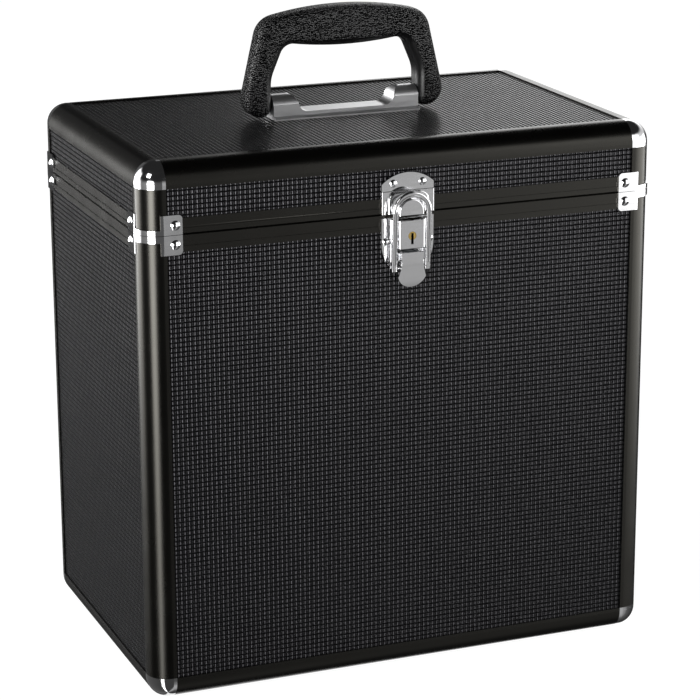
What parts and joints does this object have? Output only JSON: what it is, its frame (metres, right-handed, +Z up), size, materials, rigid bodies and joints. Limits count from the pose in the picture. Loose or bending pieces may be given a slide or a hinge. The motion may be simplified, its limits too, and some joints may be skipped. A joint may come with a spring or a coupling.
{
  "type": "record carrying case",
  "caption": "Tall black carrying case for 12 inch records, with an aluminium frame, ball corners, a hinged lid, a keyed draw latch and a folding handle.",
  "frame": {"origin": "middle of the underside, on the plane of the bottom frame", "axes": "+Z up from the underside to the handle, -Y towards the latch side, +X to the right seen from the latch side"},
  "size_m": [0.3596, 0.2409, 0.431],
  "materials": {
    "film_faced_board": "fibreboard faced with black plastic film, embossed with small squares, satin",
    "black_extrusion": "black anodised, satin",
    "chrome_steel": "bright chrome on pressed steel",
    "zinc_steel": "bright zinc plated",
    "brass": "turned brass",
    "grip_plastic": "black moulded plastic with a pebbled grain",
    "foam_lining": "thin black foam sheet, matt"
  },
  "bodies": {
    "case_base": {"base_back_board": "film_faced_board", "base_bottom_board": "film_faced_board", "base_corner_brackets": "chrome_steel", "base_corner_caps": "chrome_steel", "base_edge_back": "black_extrusion", "base_edge_front": "black_extrusion", "base_edge_left": "black_extrusion", "base_edge_right": "black_extrusion", "base_front_board": "film_faced_board", "base_left_board": "film_faced_board", "base_lining": "foam_lining", "base_post_back_left": "black_extrusion", "base_post_back_right": "black_extrusion", "base_post_front_left": "black_extrusion", "base_post_front_right": "black_extrusion", "base_rail_back": "black_extrusion", "base_rail_front": "black_extrusion", "base_rail_left": "black_extrusion", "base_rail_right": "black_extrusion", "base_right_board": "film_faced_board", "base_rivets": "chrome_steel", "hinge_base_leaves": "chrome_steel", "hinge_pins": "zinc_steel", "latch_base_plate": "chrome_steel", "latch_pivot_pin": "zinc_steel", "latch_plate_rivets": "chrome_steel", "lock_housing": "chrome_steel"},
    "lid": {"lid_back_board": "film_faced_board", "lid_corner_brackets": "chrome_steel", "lid_corner_caps": "chrome_steel", "lid_edge_back": "black_extrusion", "lid_edge_front": "black_extrusion", "lid_edge_left": "black_extrusion", "lid_edge_right": "black_extrusion", "lid_front_board": "film_faced_board", "lid_left_board": "film_faced_board", "lid_lining": "foam_lining", "lid_post_back_left": "black_extrusion", "lid_post_back_right": "black_extrusion", "lid_post_front_left": "black_extrusion", "lid_post_front_right": "black_extrusion", "lid_rail_back": "black_extrusion", "lid_rail_front": "black_extrusion", "lid_rail_left": "black_extrusion", "lid_rail_right": "black_extrusion", "lid_right_board": "film_faced_board", "lid_rivets": "chrome_steel", "lid_top_board": "film_faced_board", "strike_plate": "chrome_steel", "strike_rivets": "chrome_steel", "hinge_lid_leaves": "chrome_steel", "handle_bracket": "chrome_steel", "handle_screws": "zinc_steel", "handle_stiffener": "zinc_steel"},
    "handle": {"handle_grip": "grip_plastic", "handle_pins": "zinc_steel"},
    "lever": {"latch_lever": "chrome_steel"},
    "bail": {"latch_bail": "chrome_steel"},
    "lock": {"lock_cylinder": "brass"}
  },
  "joints": [
    {"name": "lid_hinge", "type": "hinge", "parent": "case_base", "child": "lid", "pos_m": [0, 0.11525, 0.3125], "axis": [-1, 0, 0], "range_deg": [0, 100]},
    {"name": "handle_swing", "type": "hinge", "parent": "lid", "child": "handle", "pos_m": [0, 0, 0.3673], "axis": [1, 0, 0], "range_deg": [-80, 80]},
    {"name": "latch_lever_turn", "type": "hinge", "parent": "case_base", "child": "lever", "pos_m": [0, -0.119, 0.2862], "axis": [-1, 0, 0], "range_deg": [0, 60]},
    {"name": "latch_bail_turn", "type": "hinge", "parent": "lever", "child": "bail", "pos_m": [0, -0.119, 0.2784], "axis": [1, 0, 0], "range_deg": [0, 180]},
    {"name": "lock_turn", "type": "hinge", "parent": "case_base", "child": "lock", "pos_m": [0, -0.1215, 0.2993], "axis": [0, 1, 0], "range_deg": [0, 90]}
  ],
  "couplings": [
    {"joint": "latch_lever_turn", "follows": "lid_hinge", "ratio": 0.6},
    {"joint": "latch_bail_turn", "follows": "lid_hinge", "ratio": 1.8}
  ]
}
